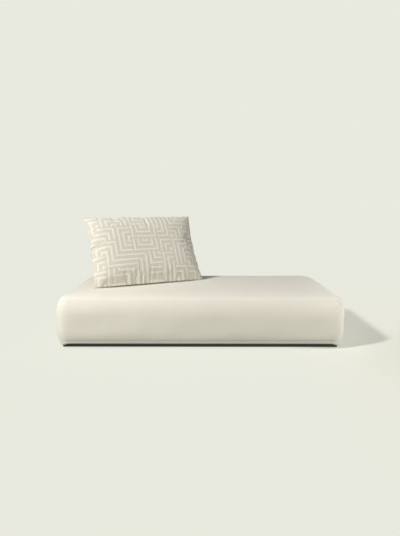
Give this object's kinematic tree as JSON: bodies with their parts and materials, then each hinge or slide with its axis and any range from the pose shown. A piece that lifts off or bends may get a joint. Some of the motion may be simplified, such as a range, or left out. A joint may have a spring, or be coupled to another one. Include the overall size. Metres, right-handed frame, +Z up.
{
  "type": "platform sofa",
  "caption": "Low backless sofa: a rounded upholstered block on a recessed black plinth, with a loose zipped pillow in a fret-patterned cover leaning on the seat.",
  "frame": {"origin": "on the floor under the middle of the block", "axes": "+X along the length to the right seen from the front, -Y towards the front, +Z up"},
  "size_m": [2, 1, 0.8773],
  "materials": {
    "oatmeal_fabric": "matte weave",
    "patterned_fabric": "matte weave with a raised fret",
    "plain_pillow_fabric": "matte weave",
    "white_fibre": "soft matte",
    "calico": "matte",
    "black_lining": "matte",
    "zip_fabric": "matte",
    "firm_foam": "open cell",
    "soft_foam": "open cell",
    "elastic_webbing": "matte weave",
    "black_wood": "black stain, satin",
    "pine": "sawn",
    "zinc_steel": "zinc",
    "zip_metal": "satin",
    "zip_nylon": "satin",
    "glide_nylon": "matte"
  },
  "bodies": {
    "block": {"floor_glides": "glide_nylon", "glide_screws": "zinc_steel", "plinth_front": "black_wood", "plinth_back": "black_wood", "plinth_left": "black_wood", "plinth_right": "black_wood", "plinth_centre": "black_wood", "plinth_screws": "zinc_steel", "dust_cover": "black_lining", "cover_staples": "zinc_steel", "hem_strip": "calico", "front_rail": "pine", "back_rail": "pine", "left_rail": "pine", "right_rail": "pine", "cross_rails": "pine", "corner_blocks": "pine", "frame_screws": "zinc_steel", "crosswise_webbing": "elastic_webbing", "lengthwise_webbing": "elastic_webbing", "webbing_clips": "zinc_steel", "edge_foam_front": "firm_foam", "edge_foam_right": "firm_foam", "edge_foam_back": "firm_foam", "edge_foam_left": "firm_foam", "foam_slab": "firm_foam", "foam_topper": "soft_foam", "wadding_wrap": "white_fibre", "front_border": "oatmeal_fabric", "right_border": "oatmeal_fabric", "back_border": "oatmeal_fabric", "left_border": "oatmeal_fabric", "top_panel": "oatmeal_fabric"},
    "pillow": {"pillow_front": "patterned_fabric", "pillow_back_upper": "plain_pillow_fabric", "pillow_back_lower": "plain_pillow_fabric", "pillow_insert": "white_fibre", "zip_tape": "zip_fabric", "zip_coil": "zip_nylon", "zip_stops": "zip_metal"},
    "slider": {"zip_slider": "zip_metal"},
    "pull": {"zip_pull": "zip_metal"}
  },
  "joints": [
    {"name": "pillow_lift", "type": "slide", "parent": "block", "child": "pillow", "axis": [0, 0, 1], "range_m": [0, 0.4]},
    {"name": "zip_slide", "type": "slide", "parent": "pillow", "child": "slider", "axis": [0.891, 0.454, 0], "range_m": [-0.395, 0]},
    {"name": "pull_swing", "type": "hinge", "parent": "slider", "child": "pull", "pos_m": [-0.27729, 0.20445, 0.51685], "axis": [0.891, 0.454, 0], "range_deg": [-20, 144]}
  ]
}
